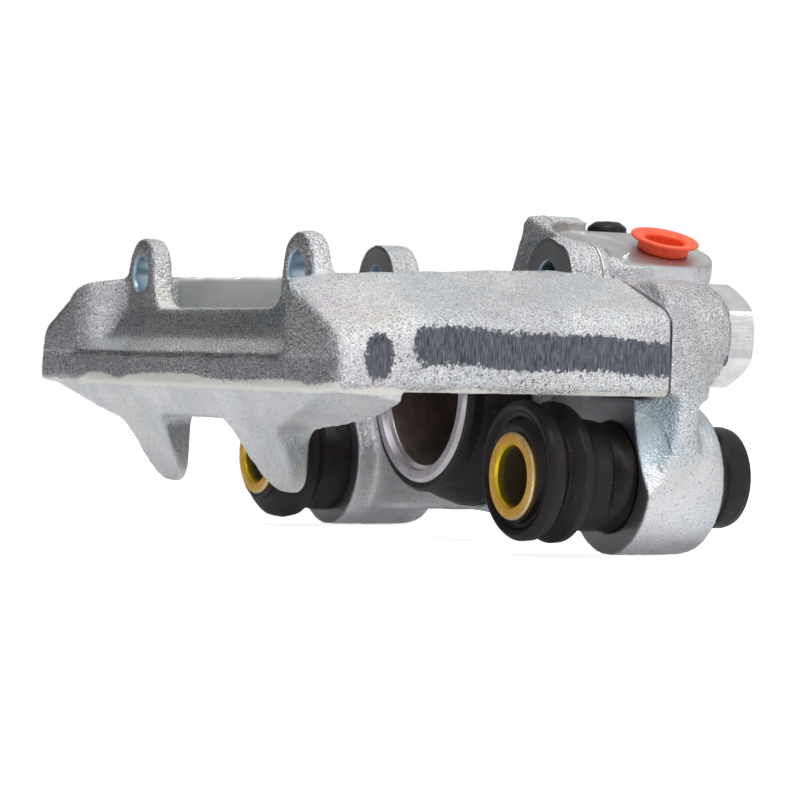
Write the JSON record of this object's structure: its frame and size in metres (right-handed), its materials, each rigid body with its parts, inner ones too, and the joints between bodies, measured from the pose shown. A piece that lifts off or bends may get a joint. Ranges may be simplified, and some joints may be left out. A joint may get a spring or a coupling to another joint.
{
  "type": "brake caliper",
  "caption": "Floating brake caliper: bridge frame with fingers bolted to a cylinder housing with piston, rubber-booted guide sleeves, pad-pin ears, capped bleeder and plugged hose port.",
  "frame": {"origin": "on the piston axis, in the plane of the piston's face", "axes": "+X along the disc's direction of travel, +Y inboard along the piston axis, +Z radially outward"},
  "size_m": [0.1754, 0.136, 0.0835],
  "materials": {
    "plated_casting": "bright zinc-plated, shot-blasted casting skin with machined faces",
    "plated_steel": "bright zinc plate, satin",
    "piston_steel": "fine turned steel",
    "yellow_zinc_steel": "yellow passivated zinc plate on steel",
    "boot_rubber": "moulded satin black rubber",
    "seal_rubber": "smooth black rubber",
    "red_plastic": "matte orange-red moulded plastic"
  },
  "bodies": {
    "caliper": {"bridge_frame": "plated_casting", "cylinder_housing": "plated_casting", "bridge_bolt_left": "plated_steel", "bridge_bolt_right": "plated_steel", "piston_seal": "seal_rubber", "piston_dust_boot": "boot_rubber", "boot_retaining_ring": "plated_steel", "guide_bush_left": "boot_rubber", "guide_bush_right": "boot_rubber", "guide_boot_left": "boot_rubber", "guide_boot_right": "boot_rubber"},
    "piston": {"piston": "piston_steel"},
    "sleeve_left": {"guide_sleeve_left": "yellow_zinc_steel"},
    "sleeve_right": {"guide_sleeve_right": "yellow_zinc_steel"},
    "bleeder": {"bleed_screw": "plated_steel"},
    "bleeder_cap": {"bleed_screw_cap": "boot_rubber"},
    "port_plug": {"hose_port_plug": "red_plastic"}
  },
  "joints": [
    {"name": "piston_slide", "type": "slide", "parent": "caliper", "child": "piston", "axis": [0, -1, 0], "range_m": [-0.008, 0.02]},
    {"name": "sleeve_slide", "type": "slide", "parent": "caliper", "child": "sleeve_left", "axis": [0, -1, 0], "range_m": [-0.008, 0.01]},
    {"name": "sleeve_slide_right", "type": "slide", "parent": "caliper", "child": "sleeve_right", "axis": [0, -1, 0], "range_m": [-0.008, 0.01]},
    {"name": "bleed_turn", "type": "hinge", "parent": "caliper", "child": "bleeder", "pos_m": [0, 0.0553, 0.035], "axis": [0, 0, 1], "range_deg": [0, 270]},
    {"name": "cap_pull", "type": "slide", "parent": "bleeder", "child": "bleeder_cap", "axis": [0, 0, 1], "range_m": [0, 0.012]},
    {"name": "plug_pull", "type": "slide", "parent": "caliper", "child": "port_plug", "axis": [0.3338, 0, 0.9426], "range_m": [0, 0.02]}
  ],
  "couplings": [
    {"joint": "sleeve_slide_right", "follows": "sleeve_slide", "ratio": 1}
  ]
}
